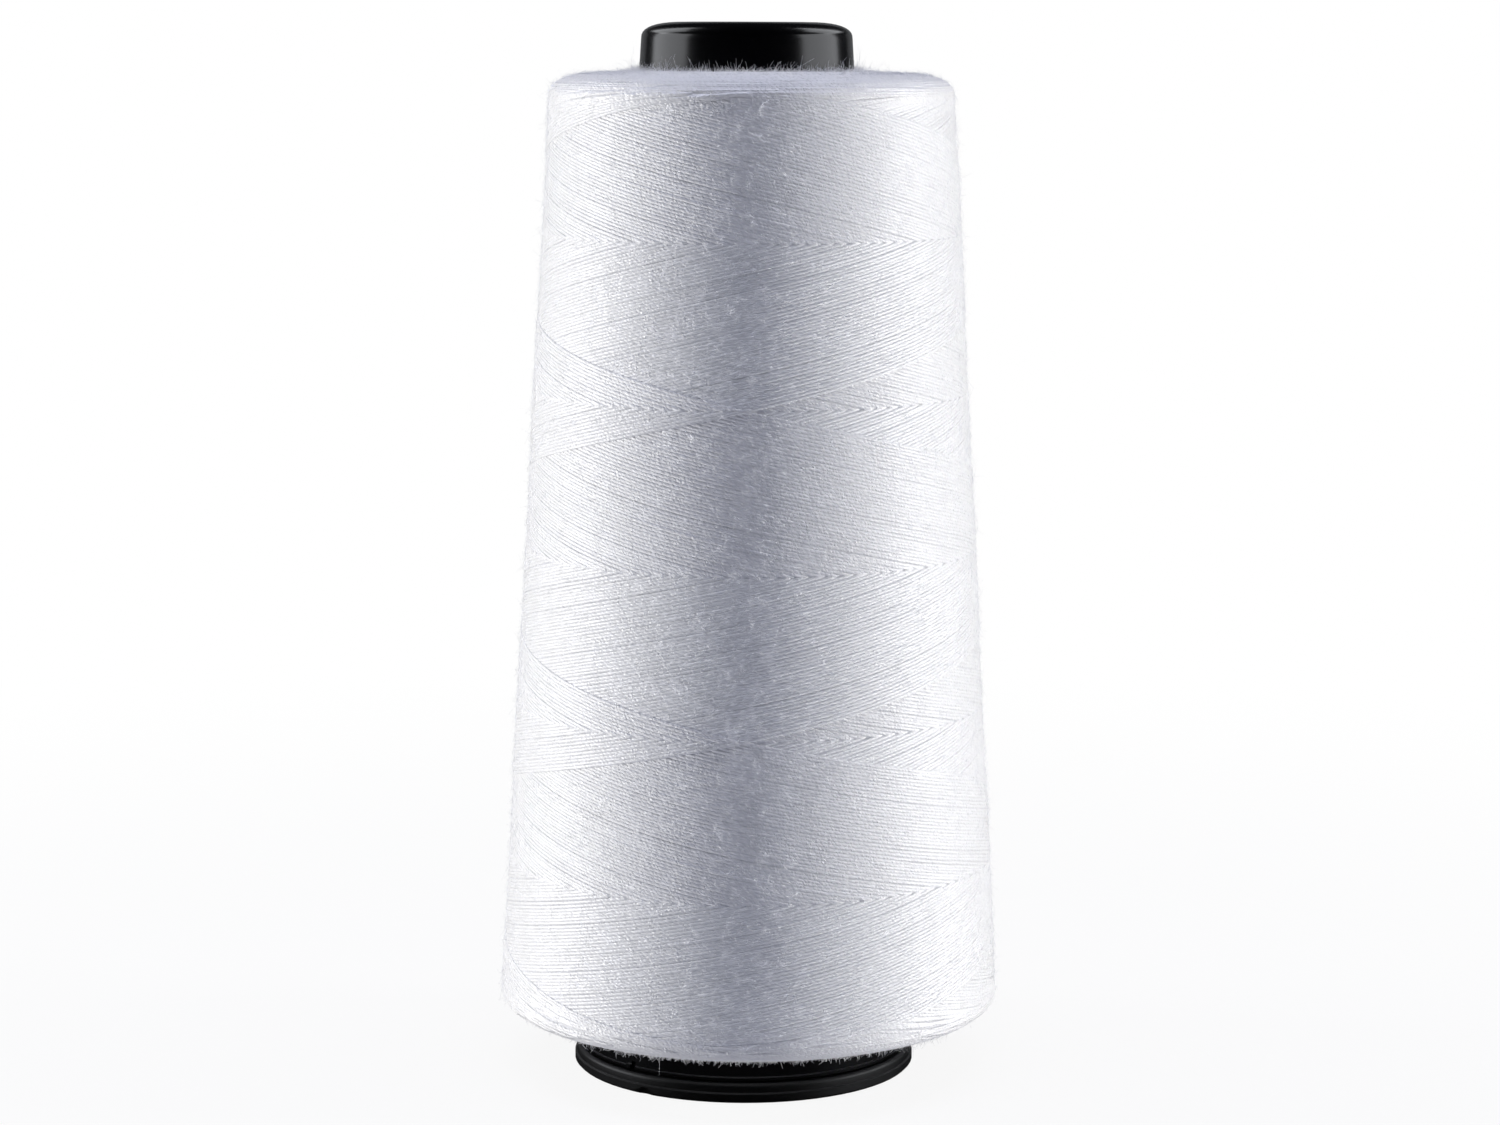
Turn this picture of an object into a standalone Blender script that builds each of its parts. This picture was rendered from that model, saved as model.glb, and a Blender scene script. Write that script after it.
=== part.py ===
"""Cone of cross-wound sewing thread on a black plastic winding cone with a snap base.

Three physical pieces:
  cone_core       the moulded, tapered winding cone with its bull nose
  snap_base       the ring under it, which slides down to open a slit for the thread's end
  thread_package  the thread, wound on the core

Units are metres, +Z is up. The origin is the centre of the face that the cone stands on,
and -Y is the front.
"""

import math

import bpy
from mathutils import Matrix, Vector

# ---- Winding cone ----
CONE_LENGTH = 0.170  # standing face to the top of the nose
CONE_HALF_ANGLE = math.radians(3.5)  # the 3 degree 30 minute taper
CONE_BASE_DIAMETER = 0.0543  # of the taper, carried down to the standing face
CONE_WALL = 0.0016
NOSE_SHOULDER = (0.0075, 0.0027)  # radial and upright size of the rounded top edge
NOSE_ROUNDNESS = 2.6
NOSE_PLATE = 0.0019  # thickness of the turned-in top
NOSE_INNER_CORNER = 0.0015
NOSE_BORE_DIAMETER = 0.0166
NOSE_LIP_ROUNDING = 0.0008
NOSE_LIP_DROP = 0.0016  # of the lip that hangs below the nose plate round the bore
NOSE_LIP_WALL = 0.0012
FOOT_LIP_HEIGHT = 0.0006  # thin bead round the core's lower edge
FOOT_LIP_REACH = 0.00015

# ---- Snap base ----
RING_HEIGHT = 0.0032
RING_OVERHANG = 0.0010  # past the core's wall
RING_SKIRT_WALL = 0.0015
RING_WEB = 0.0012  # plate that joins skirt and collar
RING_TOP_ROUNDING = 0.0007
RING_BEAD_REACH = 0.00025  # fine ridge round the middle of the ring
RING_CHAMFER = 0.0004
RING_RIB_COUNT = 12
RING_RIB_WIDTH = 0.0012
COLLAR_WALL = 0.0013
COLLAR_HEIGHT = 0.0125  # from the standing face to the tips of the fingers
FINGER_SLOT_COUNT = 8
FINGER_SLOT_WIDTH = 0.0022
FINGER_ROOT = 0.0016  # uncut collar left above the ring
BARB_HEIGHT = 0.0012
BARB_REACH = 0.0006
SEAT_WALL = 0.0011  # the core's wall outside the collar, at the seat's top
SNAP_TRAVEL = 0.003

# ---- Thread-end details ----
NICK_ANGLE = math.radians(-41)  # from the front, towards +X
NICK_WIDTH = 0.0008
NICK_HEIGHT = 0.0012
NUB_SIZE = (0.0010, 0.0008, 0.0007)  # along the lip, radially, upwards
SCOOP_ANGLE = math.radians(-34.5)
SCOOP_RADIUS = 0.0034
SCOOP_DEPTH = 0.0008
SCOOP_DROP = 0.0009  # of the scoop's centre below the standing face

# ---- Thread package ----
TRAVERSE = 0.1524  # six inches, between the two reversals of the thread
THREAD_DIAMETER = 0.00045
PACKAGE_FOOT_HEIGHT = 0.0090  # of the package's underside
PACKAGE_TOP_DIAMETER = 0.0645
PACKAGE_HALF_ANGLE = math.radians(3.26)
TOP_SHOULDER = (0.0068, 0.0034)  # radial and upright size of the rounded edge
TOP_ROUNDNESS = 2.2
FOOT_SHOULDER = (0.0100, 0.0036)
FOOT_ROUNDNESS = 2.6
CROWN_RISE = 0.0004  # of the end face next to the core

# ---- Fits and facets ----
FIT_GAP = 0.0003
SIDES = 72
CORNER_STEPS = 4
SHOULDER_STEPS = 10
MERGE = 0.00001

# ---- Derived ----
SEAM_HEIGHT = RING_HEIGHT + FIT_GAP  # the core's lower edge


def cone_radius(height):
    """Outer radius of the winding cone's taper at a height."""
    return CONE_BASE_DIAMETER / 2 - height * math.tan(CONE_HALF_ANGLE)


RECESS_TOP = COLLAR_HEIGHT - BARB_HEIGHT / 4 + FIT_GAP
SEAT_TOP = RECESS_TOP + 2 * CONE_WALL
SEAT_RADIUS = cone_radius(RECESS_TOP) - SEAT_WALL - BARB_REACH
RECESS_RADIUS = SEAT_RADIUS + BARB_REACH
COLLAR_RADIUS = SEAT_RADIUS - FIT_GAP
BARB_RADIUS = RECESS_RADIUS - FIT_GAP
BARB_TOP = RECESS_TOP - FIT_GAP
BARB_FOOT = BARB_TOP - BARB_HEIGHT
RECESS_FOOT = BARB_FOOT - SNAP_TRAVEL - FIT_GAP
RING_RADIUS = cone_radius(SEAM_HEIGHT) + RING_OVERHANG

PACKAGE_TOP_HEIGHT = PACKAGE_FOOT_HEIGHT + TRAVERSE + THREAD_DIAMETER


def clear_scene():
    """Remove every object of the startup scene."""
    for item in list(bpy.data.objects):
        bpy.data.objects.remove(item, do_unlink=True)


def collection(name):
    """A new collection in the scene."""
    made = bpy.data.collections.new(name)
    bpy.context.scene.collection.children.link(made)
    return made


def plastic(name, colour, roughness):
    """A Principled material for one finish."""
    material = bpy.data.materials.new(name)
    material.use_nodes = True
    shader = material.node_tree.nodes["Principled BSDF"]
    shader.inputs["Base Color"].default_value = (*colour, 1.0)
    shader.inputs["Roughness"].default_value = roughness
    shader.inputs["Metallic"].default_value = 0.0
    return material


def arc(centre, radii, start_deg, end_deg, steps, roundness=2.0):
    """Points (radius, height) along a superellipse's quarter or any part of an ellipse."""
    points = []
    for step in range(steps + 1):
        angle = math.radians(start_deg + (end_deg - start_deg) * step / steps)
        across = math.copysign(abs(math.cos(angle)) ** (2 / roundness), math.cos(angle))
        upward = math.copysign(abs(math.sin(angle)) ** (2 / roundness), math.sin(angle))
        points.append((centre[0] + radii[0] * across, centre[1] + radii[1] * upward))
    return points


def turned(name, profile, material, home):
    """A solid of revolution from a closed profile that runs down its outer side."""
    mesh = bpy.data.meshes.new(name)
    corners = [(radius, 0.0, height) for radius, height in profile]
    sides = [(i, (i + 1) % len(corners)) for i in range(len(corners))]
    mesh.from_pydata(corners, sides, [])
    solid = bpy.data.objects.new(name, mesh)
    home.objects.link(solid)
    solid.data.materials.append(material)
    screw = solid.modifiers.new("turn", "SCREW")
    screw.axis = "Z"
    screw.steps = SIDES
    screw.render_steps = SIDES
    screw.use_merge_vertices = True
    screw.merge_threshold = MERGE
    return solid


def block(name, size, home):
    """A box of that size, centred on the origin, with the size in its mesh."""
    bpy.ops.mesh.primitive_cube_add(size=1.0)
    box = bpy.context.object
    box.name = name
    box.data.transform(Matrix.Diagonal((*size, 1.0)))
    move_to(box, home)
    return box


def move_to(item, home):
    """Take an object out of its collections and put it in one."""
    for old in list(item.users_collection):
        old.objects.unlink(item)
    home.objects.link(item)


def as_helper(item):
    """Mark an object as a cutter or filler that the build leaves out."""
    item.hide_render = True
    item.display_type = "WIRE"
    return item


def place_round(item, angle, radius, height):
    """Put an object at an angle from the front, its local -Y pointing outwards."""
    item.rotation_euler = (0.0, 0.0, angle)
    item.location = (radius * math.sin(angle), -radius * math.cos(angle), height)
    return item


def combine(solid, tool, operation):
    """Cut or join a helper with a Boolean modifier."""
    change = solid.modifiers.new(tool.name, "BOOLEAN")
    change.operation = operation
    change.object = as_helper(tool)
    change.solver = "EXACT"


def smooth_round(solid, limit_deg=35):
    """Shade a turned piece smooth except across its sharp edges."""
    solid.data.shade_smooth()
    solid.data.set_sharp_from_angle(angle=math.radians(limit_deg))


def core_profile():
    """Closed half-section of the winding cone, from the nose down its outer side."""
    shoulder_foot = CONE_LENGTH - NOSE_SHOULDER[1]
    bore = NOSE_BORE_DIAMETER / 2
    foot_radius = cone_radius(SEAM_HEIGHT)
    lip_top = SEAM_HEIGHT + FOOT_LIP_HEIGHT
    plate_foot = CONE_LENGTH - NOSE_PLATE
    lip_foot = plate_foot - NOSE_LIP_DROP

    def inner(height):
        return cone_radius(height) - CONE_WALL

    shoulder_centre = (cone_radius(shoulder_foot) - NOSE_SHOULDER[0], shoulder_foot)
    outer = arc(shoulder_centre, NOSE_SHOULDER, 90, 0, SHOULDER_STEPS, NOSE_ROUNDNESS)
    lip = [
        (cone_radius(lip_top), lip_top),
        (foot_radius + FOOT_LIP_REACH, SEAM_HEIGHT + FOOT_LIP_HEIGHT * 2 / 3),
        (foot_radius + FOOT_LIP_REACH, SEAM_HEIGHT),
    ]
    seat = [
        (SEAT_RADIUS, SEAM_HEIGHT),
        (SEAT_RADIUS, RECESS_FOOT),
        (RECESS_RADIUS, RECESS_FOOT),
        (RECESS_RADIUS, RECESS_TOP),
        (SEAT_RADIUS, RECESS_TOP + BARB_REACH),
        (min(SEAT_RADIUS, inner(SEAT_TOP)), SEAT_TOP),
    ]
    corner_foot = plate_foot - NOSE_INNER_CORNER
    corner_centre = (inner(corner_foot) - NOSE_INNER_CORNER, corner_foot)
    inside = [
        *arc(corner_centre, (NOSE_INNER_CORNER, NOSE_INNER_CORNER), 0, 90, 3),
        (bore + NOSE_LIP_WALL, plate_foot),
        (bore + NOSE_LIP_WALL, lip_foot),
        (bore, lip_foot),
    ]
    lip_centre = (bore + NOSE_LIP_ROUNDING, CONE_LENGTH - NOSE_LIP_ROUNDING)
    bore_lip = arc(lip_centre, (NOSE_LIP_ROUNDING, NOSE_LIP_ROUNDING), 180, 90, 3)
    return outer + lip + seat + inside + bore_lip


def joined(items, name):
    """One object from several meshes that don't touch."""
    bpy.ops.object.select_all(action="DESELECT")
    for item in items:
        item.select_set(True)
    bpy.context.view_layer.objects.active = items[0]
    bpy.ops.object.join()
    items[0].name = name
    return items[0]


def build_core(material, home, helpers):
    """The winding cone, with the nub and the nick that hold the thread's end."""
    core = turned("cone_core", core_profile(), material, home)
    smooth_round(core)

    lip_outer = cone_radius(SEAM_HEIGHT) + FOOT_LIP_REACH
    nub = block("thread_nub", NUB_SIZE, helpers)
    nub_angle = NICK_ANGLE - (NUB_SIZE[0] / 2 + NICK_WIDTH / 2) / lip_outer
    place_round(nub, nub_angle, lip_outer - NUB_SIZE[1] / 4, SEAM_HEIGHT + NUB_SIZE[2] / 2)
    combine(core, nub, "UNION")

    depth = 2 * (FOOT_LIP_REACH + CONE_WALL / 2)
    nick = block("thread_nick", (NICK_WIDTH, depth, 2 * NICK_HEIGHT), helpers)
    place_round(nick, NICK_ANGLE, lip_outer, SEAM_HEIGHT)
    combine(core, nick, "DIFFERENCE")
    return core


def base_profile():
    """Closed half-section of the snap base, from the finger tips down the outer side."""
    inner = COLLAR_RADIUS - COLLAR_WALL
    skirt_inner = RING_RADIUS - RING_SKIRT_WALL
    web_foot = RING_HEIGHT - RING_WEB
    ring_top = RING_HEIGHT
    flank = RING_RADIUS - RING_BEAD_REACH
    middle = (RING_HEIGHT - RING_TOP_ROUNDING + RING_CHAMFER) / 2
    barb = [
        (COLLAR_RADIUS - COLLAR_WALL / 3, COLLAR_HEIGHT),
        (COLLAR_RADIUS, BARB_TOP),
        (BARB_RADIUS, BARB_TOP - BARB_HEIGHT / 2),
        (BARB_RADIUS, BARB_FOOT + BARB_HEIGHT / 5),
        (COLLAR_RADIUS, BARB_FOOT),
    ]
    rounding_centre = (flank - RING_TOP_ROUNDING, ring_top - RING_TOP_ROUNDING)
    rounding = (RING_TOP_ROUNDING, RING_TOP_ROUNDING)
    ring = [
        (COLLAR_RADIUS, ring_top),
        *arc(rounding_centre, rounding, 90, 0, CORNER_STEPS),
        (flank, middle + RING_BEAD_REACH),
        (RING_RADIUS, middle),
        (RING_RADIUS, RING_CHAMFER),
        (RING_RADIUS - RING_CHAMFER, 0.0),
    ]
    underside = [
        (skirt_inner, 0.0),
        (skirt_inner, web_foot),
        (COLLAR_RADIUS, web_foot),
        (COLLAR_RADIUS, RING_CHAMFER),
        (inner, RING_CHAMFER),
    ]
    return barb + ring + underside + [(inner, COLLAR_HEIGHT)]


def finger_slots(helpers):
    """Cutters that part the collar into spring fingers, in one helper."""
    inner = COLLAR_RADIUS - COLLAR_WALL
    length = 2 * (BARB_RADIUS - inner) + COLLAR_WALL
    foot = RING_HEIGHT + FINGER_ROOT
    height = 2 * (COLLAR_HEIGHT - foot)
    slots = []
    for index in range(FINGER_SLOT_COUNT):
        slot = block("slot", (FINGER_SLOT_WIDTH, length, height), helpers)
        turn = Matrix.Rotation(math.tau * (index + 0.5) / FINGER_SLOT_COUNT, 4, "Z")
        shift = Vector((0.0, -(COLLAR_RADIUS - COLLAR_WALL / 2), foot + height / 2))
        slot.data.transform(turn @ Matrix.Translation(shift))
        slots.append(slot)
    return joined(slots, "finger_slots")


def ring_ribs(helpers):
    """Radial ribs in the channel under the ring, in one helper."""
    start = COLLAR_RADIUS - COLLAR_WALL / 2
    end = RING_RADIUS - RING_SKIRT_WALL / 2
    foot = RING_CHAMFER * 2
    top = RING_HEIGHT - RING_WEB / 2
    ribs = []
    for index in range(RING_RIB_COUNT):
        rib = block("rib", (RING_RIB_WIDTH, end - start, top - foot), helpers)
        turn = Matrix.Rotation(math.tau * index / RING_RIB_COUNT, 4, "Z")
        shift = Vector((0.0, -(start + end) / 2, (foot + top) / 2))
        rib.data.transform(turn @ Matrix.Translation(shift))
        ribs.append(rib)
    return joined(ribs, "ring_ribs")


def build_base(material, home, helpers):
    """The snap base: ring, spring fingers with barbs, ribs and the thumbnail scoop."""
    base = turned("snap_base", base_profile(), material, home)
    smooth_round(base)
    combine(base, finger_slots(helpers), "DIFFERENCE")
    combine(base, ring_ribs(helpers), "UNION")

    bpy.ops.mesh.primitive_uv_sphere_add(segments=24, ring_count=14, radius=SCOOP_RADIUS)
    scoop = bpy.context.object
    scoop.name = "thumbnail_scoop"
    move_to(scoop, helpers)
    reach = RING_RADIUS - SCOOP_DEPTH + SCOOP_RADIUS
    place_round(scoop, SCOOP_ANGLE, reach, -SCOOP_DROP)
    combine(base, scoop, "DIFFERENCE")
    return base


def package_radius(height):
    """Outer radius of the wound package on its straight flank."""
    drop = PACKAGE_TOP_HEIGHT - height
    return PACKAGE_TOP_DIAMETER / 2 + drop * math.tan(PACKAGE_HALF_ANGLE)


def package_profile():
    """Closed half-section of the package, from its crown down its outer side."""
    top_centre_height = PACKAGE_TOP_HEIGHT - TOP_SHOULDER[1]
    top_centre = (package_radius(top_centre_height) - TOP_SHOULDER[0], top_centre_height)
    top = arc(top_centre, TOP_SHOULDER, 90, 0, SHOULDER_STEPS, TOP_ROUNDNESS)

    foot_centre_height = PACKAGE_FOOT_HEIGHT + FOOT_SHOULDER[1]
    foot_reach = package_radius(foot_centre_height)
    foot_centre = (foot_reach - FOOT_SHOULDER[0], foot_centre_height)
    foot = arc(foot_centre, FOOT_SHOULDER, 0, -90, SHOULDER_STEPS, FOOT_ROUNDNESS)

    crown = PACKAGE_TOP_HEIGHT + CROWN_RISE
    inner_foot = cone_radius(PACKAGE_FOOT_HEIGHT) + FIT_GAP
    inner_top = cone_radius(crown) + FIT_GAP
    return top + foot + [(inner_foot, PACKAGE_FOOT_HEIGHT), (inner_top, crown)]


def build_package(material, home):
    """The wound thread as one turned solid round the core."""
    package = turned("thread_package", package_profile(), material, home)
    smooth_round(package)
    return package


def main():
    """Build the three pieces."""
    clear_scene()
    home = collection("thread_cone")
    helpers = collection("cutters")
    black = plastic("black_plastic", (0.012, 0.012, 0.013), 0.35)
    black_satin = plastic("black_satin_plastic", (0.016, 0.016, 0.018), 0.5)
    white_thread = plastic("white_thread", (0.86, 0.87, 0.90), 0.8)

    core = build_core(black, home, helpers)
    base = build_base(black_satin, home, helpers)
    package = build_package(white_thread, home)

    axis = bpy.data.objects.new("cone_axis", None)
    home.objects.link(axis)
    for piece in (core, base, package):
        piece.parent = axis


main()
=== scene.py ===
"""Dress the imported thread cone: the wound thread, its fuzz, the black plastic and a plain studio.

Everything is in metres in the cone's own frame: +Z runs up its axis and -Y is the front.
"""

import logging
import math
from dataclasses import dataclass, field
from enum import Enum

import bmesh
import bpy
import numpy as np
from mathutils import Matrix, Vector


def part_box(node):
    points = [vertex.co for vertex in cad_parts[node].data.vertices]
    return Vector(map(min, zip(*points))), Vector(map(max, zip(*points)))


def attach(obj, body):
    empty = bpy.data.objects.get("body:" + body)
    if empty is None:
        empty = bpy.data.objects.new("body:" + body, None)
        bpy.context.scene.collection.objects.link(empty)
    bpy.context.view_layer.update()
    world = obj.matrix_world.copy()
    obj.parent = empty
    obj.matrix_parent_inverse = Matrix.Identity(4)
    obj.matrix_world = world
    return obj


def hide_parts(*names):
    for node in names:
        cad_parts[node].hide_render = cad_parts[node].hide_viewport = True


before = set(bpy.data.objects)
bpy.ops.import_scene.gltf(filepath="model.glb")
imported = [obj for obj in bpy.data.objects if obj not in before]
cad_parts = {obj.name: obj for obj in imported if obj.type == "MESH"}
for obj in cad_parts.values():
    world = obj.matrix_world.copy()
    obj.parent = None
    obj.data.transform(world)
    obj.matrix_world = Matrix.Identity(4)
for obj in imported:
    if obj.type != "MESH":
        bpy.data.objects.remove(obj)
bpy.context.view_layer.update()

LOG = logging.getLogger("thread_cone")
MM = 0.001
TAU = math.tau
STRAND_SHIFT = 7.31  # millimetres that each strand's map starts further on than the last one's
STRAND_REPEAT = 50.0
SWAY_WAVES = ((9.0, 0.5), (23.0, 0.3), (51.0, 0.2))  # waves per radian of turn and their shares


class Sense(Enum):
    """Which way a strand climbs as it goes round towards +X."""

    RISING = 1
    FALLING = -1


class End(Enum):
    """The two ends of the package."""

    TOP = 1
    FOOT = -1


# ---------------------------------------------------------------- shared functions


def eased_step(value: np.ndarray) -> np.ndarray:
    """A smooth step from 0 at 0 to 1 at 1."""
    share = np.clip(value, 0.0, 1.0)
    return share * share * (3.0 - 2.0 * share)


def on_circle(angle: np.ndarray, radius: np.ndarray, height: np.ndarray) -> np.ndarray:
    """Points at an angle from the front towards +X, a radius and a height."""
    angle, radius, height = np.broadcast_arrays(angle, radius, height)
    return np.stack([radius * np.sin(angle), -radius * np.cos(angle), height], axis=-1)


def distances(points: np.ndarray) -> np.ndarray:
    """Length along a line of points, from 0 at its first."""
    steps = np.linalg.norm(np.diff(points, axis=0), axis=1)
    return np.append(0.0, np.cumsum(steps))


def put_in_scene(name: str, data: bpy.types.ID) -> bpy.types.Object:
    """Make an object of some data and link it to the scene."""
    made = bpy.data.objects.new(name, data)
    bpy.context.scene.collection.objects.link(made)
    return made


def as_mesh(shape: bmesh.types.BMesh, name: str) -> bpy.types.Mesh:
    """Write a finished shape to a new mesh and free it.

    Args:
        shape: The shape.
        name: The mesh's name.

    Returns:
        The mesh.
    """
    mesh = bpy.data.meshes.new(name)
    shape.to_mesh(mesh)
    shape.free()
    return mesh


def corners(mesh: bpy.types.Mesh) -> np.ndarray:
    """The mesh's vertices as an array of points."""
    found = np.empty(len(mesh.vertices) * 3)
    mesh.vertices.foreach_get("co", found)
    return found.reshape(-1, 3)


# ---------------------------------------------------------------- material graphs


class Graph:
    """A material's node tree with one Principled shader and short ways to add to it."""

    def __init__(self, name: str) -> None:
        """Start the material.

        Args:
            name: The material's name.
        """
        self.material = bpy.data.materials.new(name)
        self.material.use_nodes = True
        self.nodes = self.material.node_tree.nodes
        self.shader = self.nodes["Principled BSDF"]

    def node(self, kind: str, **settings: object) -> bpy.types.Node:
        """Add a node.

        Args:
            kind: The node's type name without its ShaderNode prefix.
            **settings: Attributes of the node.

        Returns:
            The new node.
        """
        made = self.nodes.new("ShaderNode" + kind)
        for key, value in settings.items():
            setattr(made, key, value)
        return made

    def feed(self, socket: bpy.types.NodeSocket, value: object) -> None:
        """Link a socket to an output, or set its value.

        Args:
            socket: The input to feed.
            value: An output socket, a number or a tuple.
        """
        if isinstance(value, bpy.types.NodeSocket):
            self.material.node_tree.links.new(value, socket)
        else:
            socket.default_value = value

    def math(self, operation: str, *values: object) -> bpy.types.NodeSocket:
        """Add a Math node.

        Args:
            operation: The node's operation.
            *values: Its inputs, as outputs or numbers.

        Returns:
            Its output.
        """
        made = self.node("Math", operation=operation)
        for socket, value in zip(made.inputs, values):
            self.feed(socket, value)
        return made.outputs[0]

    def noise(self, vector: object, scale: float, detail: float = 2.0) -> bpy.types.NodeSocket:
        """Add a Noise texture.

        Args:
            vector: Its coordinates.
            scale: Its scale.
            detail: Its octaves.

        Returns:
            Its factor output.
        """
        made = self.node("TexNoise")
        self.feed(made.inputs["Vector"], vector)
        made.inputs["Scale"].default_value = scale
        made.inputs["Detail"].default_value = detail
        return made.outputs["Fac"]

    def band(self, value: object, low: float, high: float, to_low: float = 0.0,
             to_high: float = 1.0) -> bpy.types.NodeSocket:
        """Map a range of values smoothly to another.

        Args:
            value: The output to map.
            low: The value that becomes to_low.
            high: The value that becomes to_high.
            to_low: The result at low.
            to_high: The result at high.

        Returns:
            The mapped output.
        """
        made = self.node("MapRange", interpolation_type="SMOOTHSTEP")
        for socket, given in zip(made.inputs, (value, low, high, to_low, to_high)):
            self.feed(socket, given)
        return made.outputs["Result"]

    def blend(self, factor: object, first: object, second: object) -> bpy.types.NodeSocket:
        """Mix two colours.

        Args:
            factor: Where it is 1, the second colour shows.
            first: The first colour, as three numbers or an output.
            second: The second, likewise.

        Returns:
            The mixed colour.
        """
        made = self.node("Mix", data_type="RGBA")
        self.feed(made.inputs["Factor"], factor)
        for socket, colour in zip((made.inputs[6], made.inputs[7]), (first, second)):
            self.feed(socket, (*colour, 1.0) if isinstance(colour, tuple) else colour)
        return made.outputs[2]

    def overlay(self, factor: object, first: object, second: object) -> bpy.types.NodeSocket:
        """Mix two shaders.

        Args:
            factor: Where it is 1, the second shader shows.
            first: The first shader's output.
            second: The second's.

        Returns:
            The mixed shader.
        """
        made = self.node("MixShader")
        for socket, value in zip(made.inputs, (factor, first, second)):
            self.feed(socket, value)
        return made.outputs[0]

    def mapped(self, vector: object, **changes: tuple[float, ...]) -> bpy.types.NodeSocket:
        """Move, turn or stretch coordinates with a Mapping node.

        Args:
            vector: The coordinates.
            **changes: Its Location, Rotation or Scale.

        Returns:
            The changed coordinates.
        """
        made = self.node("Mapping")
        for name, value in {"Vector": vector, **changes}.items():
            self.feed(made.inputs[name], value)
        return made.outputs["Vector"]

    def object_place(self) -> bpy.types.NodeSocket:
        """The Object coordinates."""
        return self.node("TexCoord").outputs["Object"]

    def finish(self, colour: object, roughness: object, specular: float) -> bpy.types.Material:
        """Set the shader's colour, roughness and shine.

        Args:
            colour: The base colour's output.
            roughness: A number or an output.
            specular: The specular level.

        Returns:
            The finished material.
        """
        self.feed(self.shader.inputs["Base Color"], colour)
        self.feed(self.shader.inputs["Roughness"], roughness)
        self.shader.inputs["Specular IOR Level"].default_value = specular
        return self.material

    def bump(self, height: object, strength: float, distance: float) -> None:
        """Put a bump on the shader's normal.

        Args:
            height: The height output.
            strength: The bump's strength.
            distance: The bump's depth in metres.
        """
        made = self.node("Bump")
        self.feed(made.inputs["Height"], height)
        made.inputs["Strength"].default_value = strength
        made.inputs["Distance"].default_value = distance
        self.feed(self.shader.inputs["Normal"], made.outputs["Normal"])


@dataclass(frozen=True)
class PliedThread:
    """White spun thread of two plies, drawn on a strand's own map in millimetres, with shade painted
    into its colour in the ply grooves and along each strand's sides.

    The lint that mats the surface is drawn in the cone's own space, so it runs across strands.
    """

    crest: tuple[float, float, float] = (0.90, 0.905, 0.925)
    # painted shade: the colour that the ply grooves and a strand's sides darken towards
    painted_groove_shade: tuple[float, float, float] = (0.78, 0.785, 0.81)
    lint: tuple[float, float, float] = (0.95, 0.955, 0.97)
    plies: float = 2.0
    ply_rise: float = 1.9  # millimetres along the strand for one turn of a ply
    relief: float = 0.00004
    # factor of the painted shade along a strand's two sides
    side_shade: float = 0.93
    fibre_scale: float = 5.0
    lint_scales: tuple[float, ...] = (620.0, 1050.0)
    lint_width: float = 0.05
    lint_lift: float = 1.1
    lint_cover: float = 0.7
    roughness: float = 0.38
    specular: float = 1.0

    def lint_web(self, graph: Graph) -> bpy.types.NodeSocket:
        """Fine curved fibres lying every way over the strands.

        Args:
            graph: The material being built.

        Returns:
            1 on a fibre and 0 between them.
        """
        place = graph.object_place()
        web = None
        for number, scale in enumerate(self.lint_scales):
            moved = graph.mapped(place, Location=(0.31 * number, 0.17, 0.05 * number),
                                 Rotation=(0.5 * number, 0.9 * number, 0.3))
            off = graph.math("SUBTRACT", graph.noise(moved, scale, 1.0), 0.5)
            off = graph.math("ABSOLUTE", off)
            line = graph.band(off, 0.0, self.lint_width, 1.0, 0.0)
            web = line if web is None else graph.math("MAXIMUM", web, line)
        patch = graph.band(graph.noise(place, 260.0, 2.0), 0.35, 0.62, 0.25, 1.0)
        return graph.math("MULTIPLY", web, patch)

    def material(self, name: str) -> bpy.types.Material:
        """Build the material.

        Args:
            name: The material's name.

        Returns:
            The finished material.
        """
        graph = Graph(name)
        place = graph.node("UVMap", uv_map="strand").outputs["UV"]
        split = graph.node("SeparateXYZ")
        graph.feed(split.inputs[0], place)
        along, around = split.outputs[0], split.outputs[1]
        wander = graph.noise(graph.mapped(place, Scale=(0.35, 0.0, 0.0)), 1.0, 1.0)
        turns = graph.math("MULTIPLY", along, self.plies / self.ply_rise)
        phase = graph.math("SUBTRACT", graph.math("MULTIPLY", around, self.plies), turns)
        phase = graph.math("ADD", phase, graph.math("MULTIPLY", wander, 3.0))
        part = graph.math("FRACT", phase)
        centred = graph.math("MULTIPLY_ADD", part, 2.0, -1.0)
        lobe = graph.math("SUBTRACT", 1.0, graph.math("POWER", graph.math("ABSOLUTE", centred), 2.0))
        twisted = graph.node("CombineXYZ")
        graph.feed(twisted.inputs[0], graph.math("MULTIPLY", along, 0.5))
        graph.feed(twisted.inputs[1], phase)
        fibre = graph.noise(twisted.outputs[0], self.fibre_scale, 3.0)
        web = self.lint_web(graph)
        height = graph.math("MULTIPLY_ADD", fibre, 0.35, lobe)
        height = graph.math("MULTIPLY_ADD", web, self.lint_lift, height)
        graph.bump(height, 1.0, self.relief)
        # Painted shade: the colour darkens in the ply grooves and towards each strand's sides, where
        # their shadow would fall; the fibre noise adds a random tone.
        crown = graph.math("ABSOLUTE", graph.math("SINE", graph.math("MULTIPLY", around, TAU)))
        shade = graph.math("MULTIPLY", graph.band(lobe, 0.0, 0.7, 0.55, 1.0),
                           graph.band(crown, 0.1, 0.9, self.side_shade, 1.0))
        shade = graph.math("MULTIPLY", shade, graph.band(fibre, 0.3, 0.6, 0.88, 1.0))
        tint = graph.blend(graph.band(shade, 0.3, 0.95), self.painted_groove_shade, self.crest)
        covered = graph.blend(graph.math("MULTIPLY", web, self.lint_cover), tint, self.lint)
        return graph.finish(covered, self.roughness, self.specular)


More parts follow.
